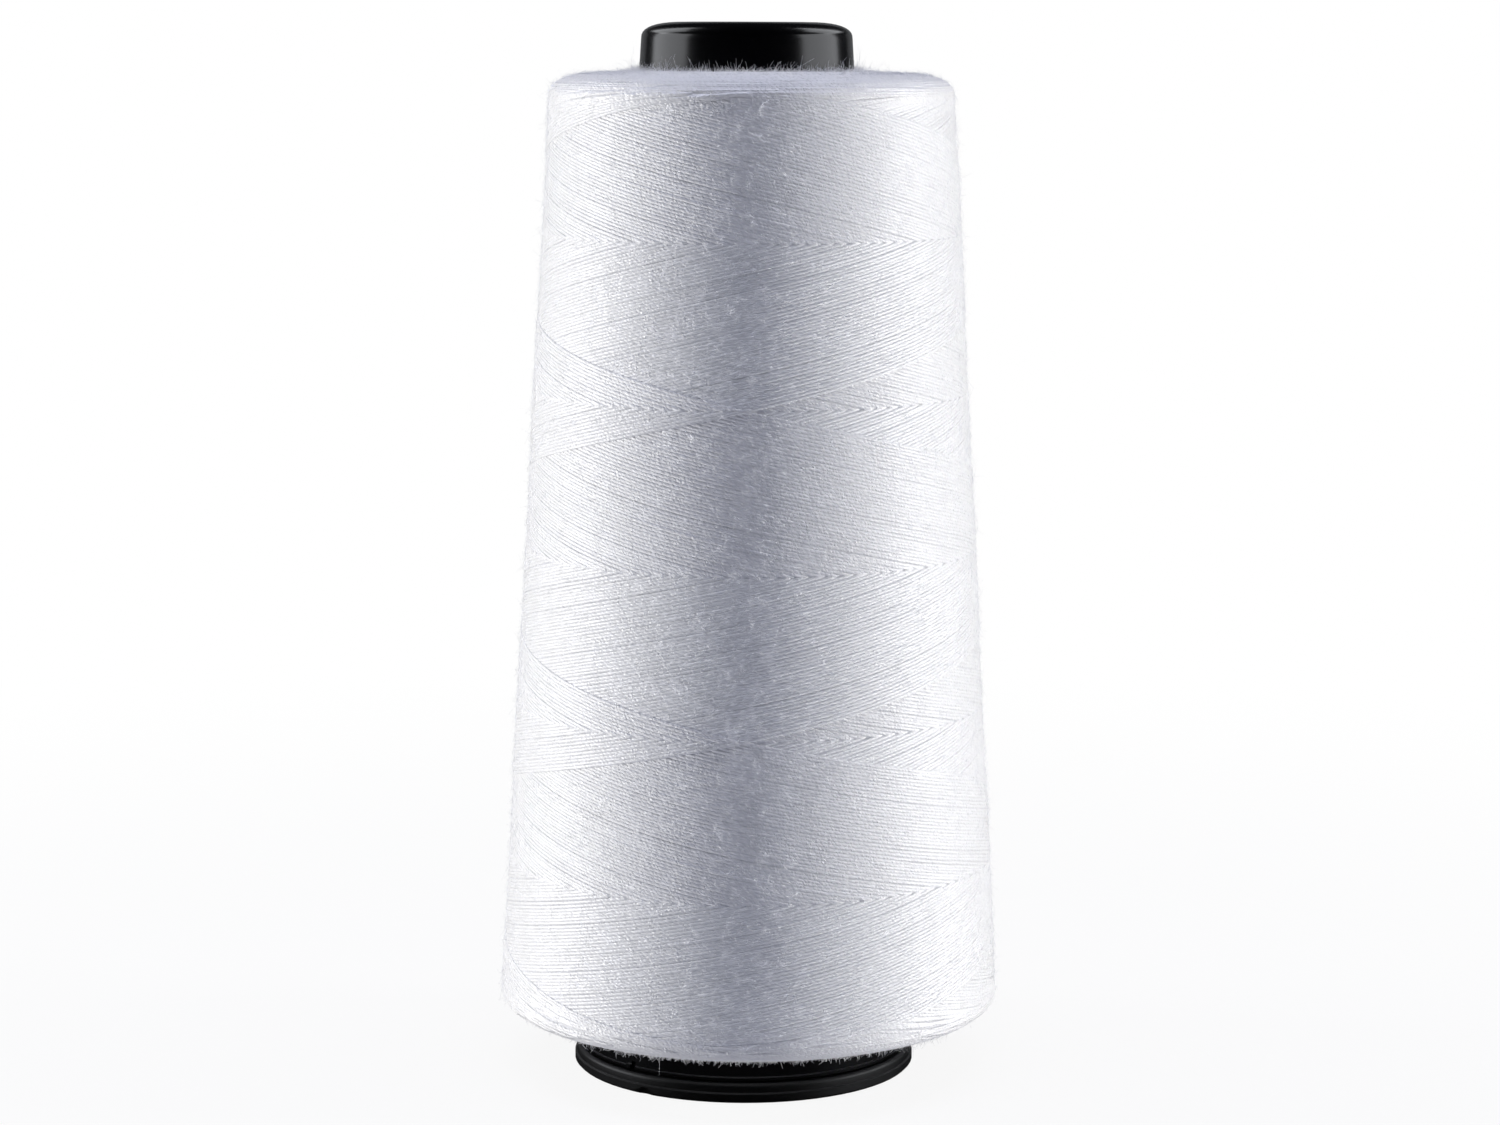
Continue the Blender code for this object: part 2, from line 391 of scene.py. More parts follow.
@dataclass(frozen=True)
class BuriedThread:
    """The older layers that show between strands: pale, with a fine crossed relief and shade painted
    into the hollows of its rows.
    """

    crest: tuple[float, float, float] = (0.84, 0.85, 0.88)
    # painted shade in the hollows of the row relief
    painted_groove_shade: tuple[float, float, float] = (0.72, 0.73, 0.77)
    roughness: float = 0.9
    specular: float = 0.2
    relief: float = 0.0002

    def material(self, name: str) -> bpy.types.Material:
        """Build the material.

        Args:
            name: The material's name.

        Returns:
            The finished material.
        """
        graph = Graph(name)
        place = graph.object_place()
        rows = graph.noise(graph.mapped(place, Scale=(60.0, 60.0, 1900.0)), 1.0, 2.0)
        lint = graph.noise(place, 2600.0, 3.0)
        height = graph.math("MULTIPLY_ADD", lint, 0.5, rows)
        graph.bump(height, 0.7, self.relief)
        # Painted shade: the colour darkens where the row relief is low.
        tint = graph.blend(graph.band(rows, 0.35, 0.6), self.painted_groove_shade, self.crest)
        return graph.finish(tint, self.roughness, self.specular)


@dataclass(frozen=True)
class LooseFibre:
    """The fine fibres that stand off a spun thread."""

    pale: tuple[float, float, float] = (0.93, 0.935, 0.945)
    dull: tuple[float, float, float] = (0.80, 0.81, 0.84)
    roughness: tuple[float, float] = (0.6, 0.8)
    specular: float = 0.4

    def material(self, name: str) -> bpy.types.Material:
        """Build the material.

        Args:
            name: The material's name.

        Returns:
            The finished material.
        """
        graph = Graph(name)
        lint = graph.noise(graph.object_place(), 700.0, 2.0)
        tint = graph.blend(graph.band(lint, 0.35, 0.65), self.dull, self.pale)
        return graph.finish(tint, graph.band(lint, 0.3, 0.7, *self.roughness), self.specular)


@dataclass(frozen=True)
class BlackPlastic:
    """Moulded black plastic with flow lines, fine scratches and a little dust."""

    colour: tuple[float, float, float] = (0.0015, 0.0015, 0.002)
    dust: tuple[float, float, float] = (0.012, 0.012, 0.013)
    roughness: tuple[float, float] = (0.2, 0.26)  # where it is smooth and where it is worn
    specular: float = 0.5
    ripple: float = 0.05
    ripple_depth: float = 0.0004
    dustiness: float = 0.15

    def material(self, name: str) -> bpy.types.Material:
        """Build the material.

        Args:
            name: The material's name.

        Returns:
            The finished material.
        """
        graph = Graph(name)
        place = graph.object_place()
        cloud = graph.noise(place, 110.0, 4.0)
        scratch = graph.noise(graph.mapped(place, Scale=(900.0, 900.0, 5200.0)), 1.0, 4.0)
        speck = graph.noise(place, 2400.0, 1.0)
        worn = graph.math("MULTIPLY", graph.band(cloud, 0.4, 0.7), graph.band(scratch, 0.45, 0.7))
        rough = graph.band(worn, 0.0, 1.0, *self.roughness)
        dusty = graph.math("MAXIMUM", graph.band(speck, 0.74, 0.8),
                           graph.math("MULTIPLY", worn, self.dustiness))
        tint = graph.blend(dusty, self.colour, self.dust)
        flow = graph.noise(graph.mapped(place, Scale=(70.0, 70.0, 25.0)), 1.0, 3.0)
        height = graph.math("MULTIPLY_ADD", scratch, 0.03, flow)
        graph.bump(height, self.ripple, self.ripple_depth)
        return graph.finish(tint, rough, self.specular)


# ---------------------------------------------------------------- strands


@dataclass
class Strands:
    """Many round strands in one mesh, each bent along its own path.

    Attributes:
        name: The piece's name.
        paths: Points of each strand, as an array of strands by rings by 3.
        normals: The outward direction at each point, in the same layout.
        half_width: Half the strand's width across the surface, by strand and ring.
        half_height: Half its height off the surface, by strand and ring.
        sides: Facets round a strand.
    """

    name: str
    paths: np.ndarray
    normals: np.ndarray
    half_width: np.ndarray
    half_height: np.ndarray
    sides: int = 6

    def prototype(self, rings: int) -> bpy.types.Object:
        """A straight capped tube with its map: rings along U, the turn round it along V.

        Args:
            rings: Rings of vertices along the tube.

        Returns:
            The tube's object, not yet bent.
        """
        shape = bmesh.new()
        bmesh.ops.create_cone(shape, cap_ends=True, cap_tris=False, segments=self.sides,
                              radius1=1.0, radius2=1.0, depth=1.0)
        long_edges = [e for e in shape.edges if abs(e.verts[0].co.z - e.verts[1].co.z) > 0.5]
        bmesh.ops.subdivide_edges(shape, edges=long_edges, cuts=rings - 2, use_grid_fill=True)
        map_layer = shape.loops.layers.uv.new("strand")
        for face in shape.faces:
            face.smooth = True
            centre = face.calc_center_median()
            middle = math.atan2(centre.y, centre.x)
            flat_end = abs(face.normal.z) > 0.9
            for loop in face.loops:
                co = loop.vert.co
                turn = math.atan2(co.y, co.x)
                turn += TAU * round((middle - turn) / TAU)
                loop[map_layer].uv = (co.z + 0.5, 0.5 if flat_end else turn / TAU)
        return put_in_scene(self.name + "_tube", as_mesh(shape, self.name + "_tube"))

    def build(self) -> bpy.types.Object:
        """Repeat the straight tube and bend each copy along its path.

        Returns:
            The finished piece, in the scene.
        """
        count, rings, _ = self.paths.shape
        tube = self.prototype(rings)
        repeat = tube.modifiers.new("repeat", "ARRAY")
        repeat.count = count
        repeat.use_relative_offset = False
        repeat.use_constant_offset = True
        repeat.constant_offset_displace = (0.0, 0.0, 0.0)
        bpy.context.view_layer.update()
        evaluated = tube.evaluated_get(bpy.context.evaluated_depsgraph_get())
        mesh = bpy.data.meshes.new_from_object(evaluated)
        mesh.name = self.name
        straight = tube.data
        corner = corners(straight)
        ring = np.rint((corner[:, 2] + 0.5) * (rings - 1)).astype(int)
        turn = np.arctan2(corner[:, 1], corner[:, 0])

        along = np.gradient(self.paths, axis=1)
        along /= np.linalg.norm(along, axis=2, keepdims=True)
        upward = self.normals - (self.normals * along).sum(2, keepdims=True) * along
        upward /= np.linalg.norm(upward, axis=2, keepdims=True)
        sideways = np.cross(upward, along)
        bent = (
            self.paths[:, ring]
            + (self.half_width[:, ring] * np.cos(turn))[..., None] * sideways[:, ring]
            + (self.half_height[:, ring] * np.sin(turn))[..., None] * upward[:, ring]
        )
        mesh.vertices.foreach_set("co", bent.ravel())

        steps = np.linalg.norm(np.diff(self.paths, axis=1), axis=2)
        run = np.concatenate([np.zeros((count, 1)), np.cumsum(steps, axis=1)], axis=1) / MM
        flat_map = np.empty(len(straight.loops) * 2)
        straight.uv_layers["strand"].data.foreach_get("uv", flat_map)
        flat_map = flat_map.reshape(-1, 2)
        map_ring = np.rint(flat_map[:, 0] * (rings - 1)).astype(int)
        shift = np.arange(count) * STRAND_SHIFT % STRAND_REPEAT
        places = np.empty((count, len(flat_map), 2))
        places[:, :, 0] = run[:, map_ring] + shift[:, None]
        places[:, :, 1] = flat_map[None, :, 1]
        mesh.uv_layers["strand"].data.foreach_set("uv", places.ravel())
        mesh.update()

        bpy.data.objects.remove(tube, do_unlink=True)
        return put_in_scene(self.name, mesh)


def finish_piece(piece: bpy.types.Object, material: bpy.types.Material, body: str, slot: str,
                 *replaced: str) -> None:
    """Give a piece its material and its body, and hide the nodes that it replaces.

    Args:
        piece: The new piece.
        material: Its finish.
        body: The CAD body that it moves with.
        slot: A material slot's name; not used.
        *replaced: The CAD nodes that it replaces.
    """
    piece.data.materials.append(material)
    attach(piece, body)
    if replaced:
        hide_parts(*replaced)
    LOG.info("%s: %d faces, rides on %s", piece.name, len(piece.data.polygons), body)


# ---------------------------------------------------------------- the package


@dataclass(frozen=True)
class Shoulder:
    """A rounded edge of the package.

    Attributes:
        reach: Its radial size.
        rise: Its upright size.
        roundness: 2 for an ellipse, and more for a squarer edge.
    """

    reach: float
    rise: float
    roundness: float

    def fall(self, share: np.ndarray, size: float) -> np.ndarray:
        """How far the edge has fallen off, out of a size, at a share of its way."""
        return size * (1.0 - (1.0 - share**self.roundness) ** (1.0 / self.roundness))


@dataclass
class PackageForm:
    """The outline of the wound thread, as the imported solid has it.

    Attributes:
        low: The lowest corner of the thread_package node's box.
        high: Its highest corner.
        taper: The flank's angle from the axis.
        top_shoulder: The rounded upper edge.
        foot_shoulder: The rounded lower edge.
        crown: Rise of the upper face from its edge to the core.
        core_foot_radius: The winding cone's taper carried down to the standing face.
        core_taper: The winding cone's angle from its axis.
        off_centre: How far the outer layers lie towards +X from the core's axis.
        settle: Thickness of thread over which they come to lie that far off.
    """

    low: Vector = field(default_factory=lambda: Vector(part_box("thread_package")[0]))
    high: Vector = field(default_factory=lambda: Vector(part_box("thread_package")[1]))
    taper: float = math.radians(3.26)
    top_shoulder: Shoulder = Shoulder(6.8 * MM, 3.4 * MM, 2.2)
    foot_shoulder: Shoulder = Shoulder(10.0 * MM, 3.6 * MM, 2.6)
    crown: float = 0.4 * MM
    core_foot_radius: float = 27.15 * MM
    core_taper: float = math.radians(3.5)
    off_centre: float = 0.85 * MM
    settle: float = 6.0 * MM

    def core_radius(self, height: np.ndarray) -> np.ndarray:
        """Outer radius of the winding cone at a height."""
        return self.core_foot_radius - height * math.tan(self.core_taper)

    def flank(self, height: np.ndarray) -> np.ndarray:
        """Radius of the straight flank, carried on past the shoulders."""
        widest = self.low.z + self.foot_shoulder.rise
        return self.high.x - (height - widest) * math.tan(self.taper)

    def radius(self, height: np.ndarray) -> np.ndarray:
        """Radius of the outline with both shoulders.

        Args:
            height: Heights above the standing face.

        Returns:
            The radius at each.
        """
        edge, upper, lower = self.high.z - self.crown, self.top_shoulder, self.foot_shoulder
        above = np.clip((height - (edge - upper.rise)) / upper.rise, 0.0, 1.0)
        below = np.clip((self.low.z + lower.rise - height) / lower.rise, 0.0, 1.0)
        return self.flank(height) - upper.fall(above, upper.reach) - lower.fall(below, lower.reach)

    def settle_on_core(self, points: np.ndarray) -> np.ndarray:
        """Move outer points a little off centre and leave those by the core in place.

        Args:
            points: Points as an array whose last axis is 3.

        Returns:
            The moved points.
        """
        outward = np.hypot(points[..., 0], points[..., 1]) - self.core_radius(points[..., 2])
        moved = points.copy()
        moved[..., 0] += self.off_centre * eased_step(outward / self.settle)
        return moved


@dataclass
class Winding:
    """The law that the thread follows as the guide sweeps up and down the turning cone.

    A strand's place is its turn from its own reversal, from 0 at the top to turns at the foot.
    Of two strands that meet, the younger lies on top.

    Attributes:
        form: The package's outline.
        strands: Strands side by side in one turn of the pattern.
        lead: Height that a strand climbs in one turn.
        strokes: Turns that it makes between its reversals.
        top_reversal: Height of the upper reversal.
        rounding: Turn, in radians, over which a strand slows at each reversal.
        thickness: How far the youngest strand stands above the oldest.
        sink: How far a strand goes down where a younger one covers it.
        half_width: Half a strand's width.
        half_height: Half its height.
        rings: Rings of vertices along a run.
        end_rings: Steps that lie close together at each of its ends.
        end_turn: Turn, in radians, that they take up.
        tuck: How far a run goes on past a younger strand's edge, in strand spacings.
        hide: How far it goes on past a seam, likewise.
        run_on: How far the youngest strand's runs go on past a seam, likewise.
        seam_slope: Length over which a run goes down at a seam, in strand spacings.
        seam_start: How much of that slope lies past the seam.
        edge_slope: Length over which it goes down under a younger strand's edge, likewise.
        edge_dip: How far down it goes there, as a share of sink.
        first_dip: How far down the youngest strand's runs go past a seam, likewise.
        parting_share: Share of strands that stand a little apart from the one before.
        parting: Least and greatest width of such a parting, in strand spacings.
        sway: How far a strand strays from its path.
        seed: Seed of the strands' small departures.
    """

    form: PackageForm
    strands: int = 94
    lead: float = 50.8 * MM
    strokes: float = 3.0
    top_reversal: float = 161.8 * MM
    rounding: float = 0.84
    thickness: float = 0.15 * MM
    sink: float = 0.32 * MM
    half_width: float = 0.33 * MM
    half_height: float = 0.115 * MM
    rings: int = 42
    end_rings: int = 7
    end_turn: float = 0.13
    tuck: float = 1.75
    hide: float = 1.3
    run_on: float = 0.75
    seam_slope: float = 0.7
    seam_start: float = 0.85
    edge_slope: float = 0.9
    edge_dip: float = 0.8
    first_dip: float = 0.6
    parting_share: float = 0.24
    parting: tuple[float, float] = (0.06, 0.22)
    sway: float = 0.022 * MM
    seed: int = 11

    def __post_init__(self) -> None:
        """Draw each strand's own small departures from the law."""
        chance = np.random.default_rng(self.seed)
        self.full = TAU * self.strokes
        self.climb = self.lead / TAU
        self.pitch = TAU / self.strands
        drift = np.convolve(chance.normal(0.0, 1.0, self.strands + 8), np.ones(5) / 5.0, "same")[4:-4]
        jitter = chance.normal(0.0, 0.03, self.strands) + 0.06 * drift
        parted = chance.uniform(*self.parting, self.strands)
        parted = np.where(chance.random(self.strands) < self.parting_share, parted, 0.0)
        jitter[1:] += np.convolve(parted, (1.0, 0.75, 0.5, 0.25))[: self.strands - 1]
        self.ages = (np.arange(self.strands) + 0.5 + jitter) * self.pitch
        self.slip_top = chance.uniform(-0.1, 0.9, self.strands) * MM
        self.slip_foot = chance.uniform(-0.2, 1.9, self.strands) * MM
        self.waves = chance.uniform(0.0, TAU, (self.strands, 4))
        self.level = chance.normal(0.0, 0.012, self.strands) * MM

    def height(self, turn: np.ndarray, slip_top: np.ndarray | float = 0.0,
               slip_foot: np.ndarray | float = 0.0) -> np.ndarray:
        """Height of a strand at a turn from its top reversal.

        Args:
            turn: The turn in radians; just past either reversal it mirrors.
            slip_top: How much further up this strand's top reversal lies.
            slip_foot: How much further down its foot reversal lies.

        Returns:
            The height.
        """
        turn = np.abs(turn)
        turn = self.full - np.abs(self.full - turn)
        from_foot = self.full - turn
        bend = self.rounding

        def eased(distance: np.ndarray) -> np.ndarray:
            """The climb over a distance, slower within the bend."""
            return np.where(distance < bend, (distance**2 + bend**2) / (2.0 * bend), distance)

        upper = self.top_reversal - self.climb * eased(turn)
        lower = self.top_reversal - self.climb * self.full + self.climb * eased(from_foot)
        place = np.where(turn < self.full / 2.0, upper, lower)
        near_top = np.clip(1.0 - turn / bend, 0.0, 1.0) ** 2
        near_foot = np.clip(1.0 - from_foot / bend, 0.0, 1.0) ** 2
        return place + slip_top * near_top - slip_foot * near_foot

    def swell(self, first_age: np.ndarray, second_age: np.ndarray) -> np.ndarray:
        """How far the surface stands out where the two families have these ages."""
        return self.thickness * (1.0 - (first_age + second_age) / TAU)

    def surface_swell(self, angle: np.ndarray, height: np.ndarray) -> np.ndarray:
        """The same from a place on the package.

        Args:
            angle: Angle from the front towards +X.
            height: Height above the standing face.

        Returns:
            The outward swell.
        """
        turn = (self.top_reversal - height) / self.climb
        rising = np.mod(-(angle + turn), TAU)
        falling = np.mod(-(angle - turn), TAU)
        return self.swell(rising, falling)

    def ring_turns(self, start: np.ndarray, stop: np.ndarray) -> np.ndarray:
        """Turns of each run's rings, close together near its two ends.

        Args:
            start: Turn where each run starts.
            stop: Turn where it stops.

        Returns:
            An array of runs by rings.
        """
        span = (stop - start)[:, None]
        close, last = self.end_rings, self.rings - 1
        end = np.minimum(self.end_turn, span * 0.3)
        steps = np.arange(self.rings)[None, :].astype(float)
        head = end * steps / close
        tail = span - end * (last - steps) / close
        middle = end + (span - 2 * end) * (steps - close) / (last - 2 * close)
        place = np.where(steps < close, head, np.where(steps > last - close, tail, middle))
        return start[:, None] + place

    def runs(self, sense: Sense) -> tuple[np.ndarray, np.ndarray, np.ndarray]:
        """Paths of every visible run of one family.

        Args:
            sense: The family.

        Returns:
            Paths, outward normals and the band that each run lies in.
        """
        tuck = np.minimum(self.tuck * self.pitch, self.ages / 4.0)
        hide = np.minimum(self.hide * self.pitch, self.ages / 4.0)
        run_on = self.run_on * self.pitch
        paths, normals, bands = [], [], []
        for band in range(int(2 * self.strokes)):
            top_seam, foot_seam = math.pi * band, math.pi * (band + 1)
            if sense is Sense.RISING:
                start, stop = top_seam - hide, foot_seam - self.ages / 2.0 + tuck
            else:
                start, stop = top_seam + self.ages / 2.0 - tuck, foot_seam + hide
            start[0], stop[0] = top_seam - run_on, foot_seam + run_on
            turn = self.ring_turns(start, stop)
            own = self.ages[:, None]
            if sense is Sense.RISING:
                angle = -own - turn
                other = np.clip(own + 2.0 * (turn - top_seam), 0.0, TAU)
                from_seam, past_edge = turn - top_seam, turn - (foot_seam - own / 2.0)
            else:
                angle = -own + turn
                other = np.clip(own - 2.0 * (turn - foot_seam), 0.0, TAU)
                from_seam, past_edge = foot_seam - turn, top_seam + own / 2.0 - turn
            dip = 1.0 - eased_step(from_seam / (self.seam_slope * self.pitch) + self.seam_start)
            dip = dip + self.edge_dip * eased_step(past_edge / (self.edge_slope * self.pitch))
            beyond = np.maximum(top_seam - turn[0], turn[0] - foot_seam)
            dip[0] = self.first_dip * eased_step(beyond / run_on)
            height = self.height(turn, self.slip_top[:, None], self.slip_foot[:, None])
            for (pace, share), wave in zip(SWAY_WAVES, self.waves.T):
                height = height + self.sway * share * np.sin(turn * pace + wave[:, None])
            radius = self.form.radius(height) - self.half_height
            radius = radius + self.swell(own, other) + self.level[:, None] - self.sink * dip
            paths.append(on_circle(angle, radius, height))
            normals.append(self.outward(angle, height))
            bands.append(np.full(self.strands, band))
        return np.concatenate(paths), np.concatenate(normals), np.concatenate(bands)

    def outward(self, angle: np.ndarray, height: np.ndarray) -> np.ndarray:
        """Outward normal of the outline at an angle and height.

        Args:
            angle: Angle from the front towards +X.
            height: Height above the standing face.

        Returns:
            Unit vectors.
        """
        gap = 0.05 * MM
        slope = (self.form.radius(height + gap) - self.form.radius(height - gap)) / (2 * gap)
        slope = np.clip(slope, -6.0, 6.0)
        normal = on_circle(angle, np.ones_like(slope), -slope)
        return normal / np.linalg.norm(normal, axis=-1, keepdims=True)


@dataclass
class WoundThread:
    """The thread package: older layers, visible runs, reversals on both ends, and fuzz."""

    form: PackageForm = field(default_factory=PackageForm)
    body: str = "core"
    slot: str = "white_thread"
    node: str = "thread_package"
    inset: float = 0.17 * MM  # how far the older layers lie under the outline
    body_sides: int = 180
    core_gap: float = 0.1 * MM
    arc_pitch: float = 0.42 * MM
    arc_margins: tuple[float, float] = (0.4 * MM, 0.2 * MM)  # left bare at a rim's two ends
    arc_span: tuple[float, float] = (0.85, 1.15)  # radians
    arc_rings: int = 22
    arcs_round: int = 9
    arc_half_width: float = 0.3 * MM
    arc_flatness: float = 0.42
    arc_dip: float = 0.32 * MM  # how far an arc goes down at its two ends
    arc_ends: float = 0.16  # share of it, at either end, over which it does

    def __post_init__(self) -> None:
        """Set out the winding and the finishes."""
        self.winding = Winding(self.form)
        self.plied = PliedThread().material("white_plied_thread")
        self.buried = BuriedThread().material("white_buried_thread")
        self.fibre = LooseFibre().material("white_loose_fibre")

    def rim(self, end: End, steps: int = 240) -> np.ndarray:
        """The outline from the flank over one shoulder to the core.

        Args:
            end: Which end of the package.
            steps: Points along each part.

        Returns:
            Radius and height pairs, in even steps.
        """
        form = self.form
        if end is End.TOP:
            edge, crown, shoulder = form.high.z - form.crown, form.crown, form.top_shoulder
        else:
            edge, crown, shoulder = form.low.z, 0.0, form.foot_shoulder
        centre_z = edge - end.value * shoulder.rise
        centre_r = form.flank(centre_z) - shoulder.reach
        quarter = np.linspace(0.0, math.pi / 2.0, steps)
        power = 2.0 / shoulder.roundness
        radius = centre_r + shoulder.reach * np.cos(quarter) ** power
        height = centre_z + end.value * shoulder.rise * np.sin(quarter) ** power
        inner = form.core_radius(edge)
        flat_r = np.linspace(centre_r, inner + self.core_gap, steps)[1:]
        flat_z = edge + crown * (centre_r - flat_r) / (centre_r - inner)
        points = np.stack([np.append(radius, flat_r), np.append(height, flat_z)], axis=1)
        length = distances(points)
        even = np.linspace(0.0, length[-1], 2 * steps)
        return np.stack([np.interp(even, length, points[:, k]) for k in range(2)], axis=1)

    def older_layers(self) -> bpy.types.Object:
        """A turned body just under the visible strands.

        Returns:
            The piece.
        """
        top, foot = self.rim(End.TOP, 12), self.rim(End.FOOT, 12)
        flank_z = np.linspace(top[0, 1], foot[0, 1], 80)[1:-1]
        flank = np.stack([self.form.flank(flank_z), flank_z], axis=1)
        outline = np.concatenate([top[::-1], flank, foot])
        tangent = np.gradient(outline, axis=0)
        tangent /= np.linalg.norm(tangent, axis=1, keepdims=True)
        inward = np.stack([tangent[:, 1], -tangent[:, 0]], axis=1)
        outline = outline + inward * self.inset
        shape = bmesh.new()
        verts = [shape.verts.new((0.0, -r, z)) for r, z in outline]
        verts += [shape.verts.new((0.0, -(self.form.core_radius(z) + self.core_gap), z))
                  for z in (outline[-1, 1], outline[0, 1])]
        edges = [shape.edges.new((verts[i], verts[(i + 1) % len(verts)])) for i in range(len(verts))]
        bmesh.ops.spin(shape, geom=verts + edges, cent=(0, 0, 0), axis=(0, 0, 1), dvec=(0, 0, 0),
                       angle=TAU, steps=self.body_sides, use_merge=True, use_normal_flip=False,
                       use_duplicate=False)
        bmesh.ops.remove_doubles(shape, verts=shape.verts, dist=1e-7)
        bmesh.ops.recalc_face_normals(shape, faces=shape.faces)
        for face in shape.faces:
            face.smooth = True
        mesh = as_mesh(shape, "older_layers")
        corner = corners(mesh)
        angle = np.arctan2(corner[:, 0], -corner[:, 1])
        radius = np.hypot(corner[:, 0], corner[:, 1])
        on_flank = radius > self.form.radius(corner[:, 2]) - 1.3 * self.inset
        swell = self.winding.surface_swell(angle, corner[:, 2]) * on_flank
        corner = on_circle(angle, radius + swell, corner[:, 2])
        mesh.vertices.foreach_set("co", self.form.settle_on_core(corner).ravel())
        mesh.update()
        return put_in_scene("older_layers", mesh)

    def visible_runs(self) -> list[bpy.types.Object]:
        """The strands of the outer layer, band by band.

        Returns:
            The pieces.
        """
        winding = self.winding
        found = zip(*(winding.runs(sense) for sense in Sense))
        paths, normals, bands = (np.concatenate(part) for part in found)
        pieces = []
        for number in range(0, int(2 * winding.strokes), 2):
            chosen = (bands == number) | (bands == number + 1)
            some = self.form.settle_on_core(paths[chosen])
            size = some.shape[:2]
            pieces.append(Strands(
                f"wound_strands_{number // 2 + 1}", some, normals[chosen],
                np.full(size, winding.half_width), np.full(size, winding.half_height),
            ).build())
        return pieces

    def reversals(self, end: End) -> bpy.types.Object:
        """Arcs of earlier reversals that cover a shoulder and an end face.

        Args:
            end: Which end of the package.

        Returns:
            The piece.
        """
        chance = np.random.default_rng(21 if end is End.TOP else 22)
        rim = self.rim(end)
        length = distances(rim)
        outer, inner = self.arc_margins
        arcs = []
        for line in np.arange(outer, length[-1] - inner, self.arc_pitch):
            first = chance.uniform(0.0, TAU)
            for number in range(self.arcs_round):
                arcs.append((line + chance.normal(0.0, 0.03) * MM,
                             first + TAU * number / self.arcs_round + chance.normal(0.0, 0.08),
                             chance.uniform(*self.arc_span),
                             chance.normal(0.0, 0.08) * MM))
        steps = np.linspace(0.0, 1.0, self.arc_rings)[None, :]
        place, start, span, slope = np.array(arcs).T[:, :, None]
        angle = start + span * steps
        at = np.clip(place + slope * (2.0 * steps - 1.0), 0.0, length[-1])
        radius = np.interp(at, length, rim[:, 0])
        height = np.interp(at, length, rim[:, 1])
        tangent = np.gradient(rim, axis=0)
        normal_r = np.interp(at, length, tangent[:, 1] * end.value)
        normal_z = np.interp(at, length, tangent[:, 0] * -end.value)
        size = np.hypot(normal_r, normal_z)
        normal_r, normal_z = normal_r / size, normal_z / size
        edge = np.minimum(steps, 1.0 - steps) / self.arc_ends
        level = -self.winding.half_height + chance.uniform(-0.03, 0.02, place.shape) * MM
        off = level - self.arc_dip * (1.0 - np.clip(edge, 0.0, 1.0) ** 0.7)
        paths = on_circle(angle, radius + off * normal_r, height + off * normal_z)
        normals = on_circle(angle, normal_r, normal_z)
        width = np.full(paths.shape[:2], self.arc_half_width)
        return Strands("reversals_" + end.name.lower(), self.form.settle_on_core(paths), normals,
                       width, width * self.arc_flatness).build()

    def build(self) -> None:
        """Build and dress the whole package."""
        finish_piece(self.older_layers(), self.buried, self.body, self.slot, self.node)
        for piece in self.visible_runs():
            finish_piece(piece, self.plied, self.body, self.slot, self.node)
        for end in End:
            finish_piece(self.reversals(end), self.plied, self.body, self.slot, self.node)
        for piece in Fuzz(self.winding).build():
            finish_piece(piece, self.fibre, self.body, self.slot, self.node)
            piece.visible_shadow = False


# ---------------------------------------------------------------- fuzz


@dataclass(frozen=True)
class Pile:
    """How the fibres of one patch of fuzz grow.

    Attributes:
        count: Fibres in the patch.
        length: Shape and scale of the lengths' gamma law, in millimetres.
        lift: Mean and spread of the lift: 0 lies along the surface, 1 stands straight off it.
        lift_limits: The least and the greatest lift.
        curl: Spread of how far a fibre turns along its length, in radians.
        rings: Rings of vertices along a fibre.
        radius: Its radius at the root.
        shortest: Added to every length.
        long_share: Share of fibres that are long.
        long_gain: How many times longer those are.
        long_extra: Added to their length after that.
        long_curl: Their own spread of the turn.
    """

    count: int
    length: tuple[float, float]
    lift: tuple[float, float]
    lift_limits: tuple[float, float]
    curl: float
    rings: int
    radius: float = 0.026 * MM
    shortest: float = 0.0
    long_share: float = 0.0
    long_gain: float = 1.0
    long_extra: float = 0.0
    long_curl: float = 0.0

    def draw(self, chance: np.random.Generator) -> tuple[np.ndarray, np.ndarray, np.ndarray]:
        """Draw each fibre's own size.

        Args:
            chance: The random numbers.

        Returns:
            Lengths, lifts and turns.
        """
        length = chance.gamma(*self.length, self.count) * MM + self.shortest
        curl = np.full(self.count, self.curl)
        if self.long_share:
            is_long = chance.random(self.count) < self.long_share
            length = np.where(is_long, length * self.long_gain + self.long_extra, length)
            curl[is_long] = self.long_curl
        lift = np.clip(chance.normal(*self.lift, self.count), *self.lift_limits)
        return length, lift, curl * chance.normal(0.0, 1.0, self.count)


FLANK_PILE = Pile(10000, (3.0, 0.36), (0.13, 0.08), (0.03, 0.9), 1.8, 3)
CROWN_PILE = Pile(9000, (3.0, 0.2), (0.12, 0.07), (0.02, 0.9), 1.8, 3)
NOSE_PILE = Pile(
    7000, (2.4, 0.30), (0.45, 0.25), (0.02, 0.95), 2.6, 5, radius=0.0208 * MM, shortest=0.2 * MM,
    long_share=0.012, long_gain=2.0, long_extra=1.2 * MM, long_curl=1.2,
)
FOOT_PILE = Pile(
    8000, (2.2, 0.2), (0.5, 0.22), (0.05, 0.95), 2.6, 4, radius=0.0286 * MM, shortest=0.2 * MM,
    long_share=0.015, long_gain=1.8, long_extra=0.6 * MM, long_curl=2.6,
)


def any_way(count: int, chance: np.random.Generator) -> np.ndarray:
    """Level directions, all ways round."""
    turn = chance.uniform(0.0, TAU, count)
    return np.stack([np.cos(turn), np.sin(turn), np.zeros(count)], axis=1)


